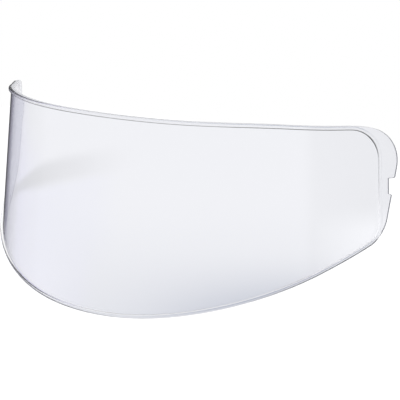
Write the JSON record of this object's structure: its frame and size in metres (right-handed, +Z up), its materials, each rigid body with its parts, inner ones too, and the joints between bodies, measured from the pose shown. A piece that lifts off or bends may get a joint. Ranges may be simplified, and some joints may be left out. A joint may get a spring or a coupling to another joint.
{
  "type": "helmet visor anti-fog insert",
  "caption": "Clear curved anti-fog insert lens with a raised silicone seal bead round its outer face and a pin notch in each rounded end.",
  "frame": {"origin": "under the middle of the part's box, at the level of the lowest point of the lens's lower edge", "axes": "+Z up as worn, -Y forwards out of the helmet's eye port, +X to the wearer's left, which is the right of someone facing the outer side, mirror plane X = 0"},
  "size_m": [0.2176, 0.0812, 0.0865],
  "materials": {
    "clear_sheet": "gloss",
    "silicone": "satin"
  },
  "bodies": {
    "root": {"lens": "clear_sheet", "seal_bead": "silicone"}
  },
  "joints": []
}
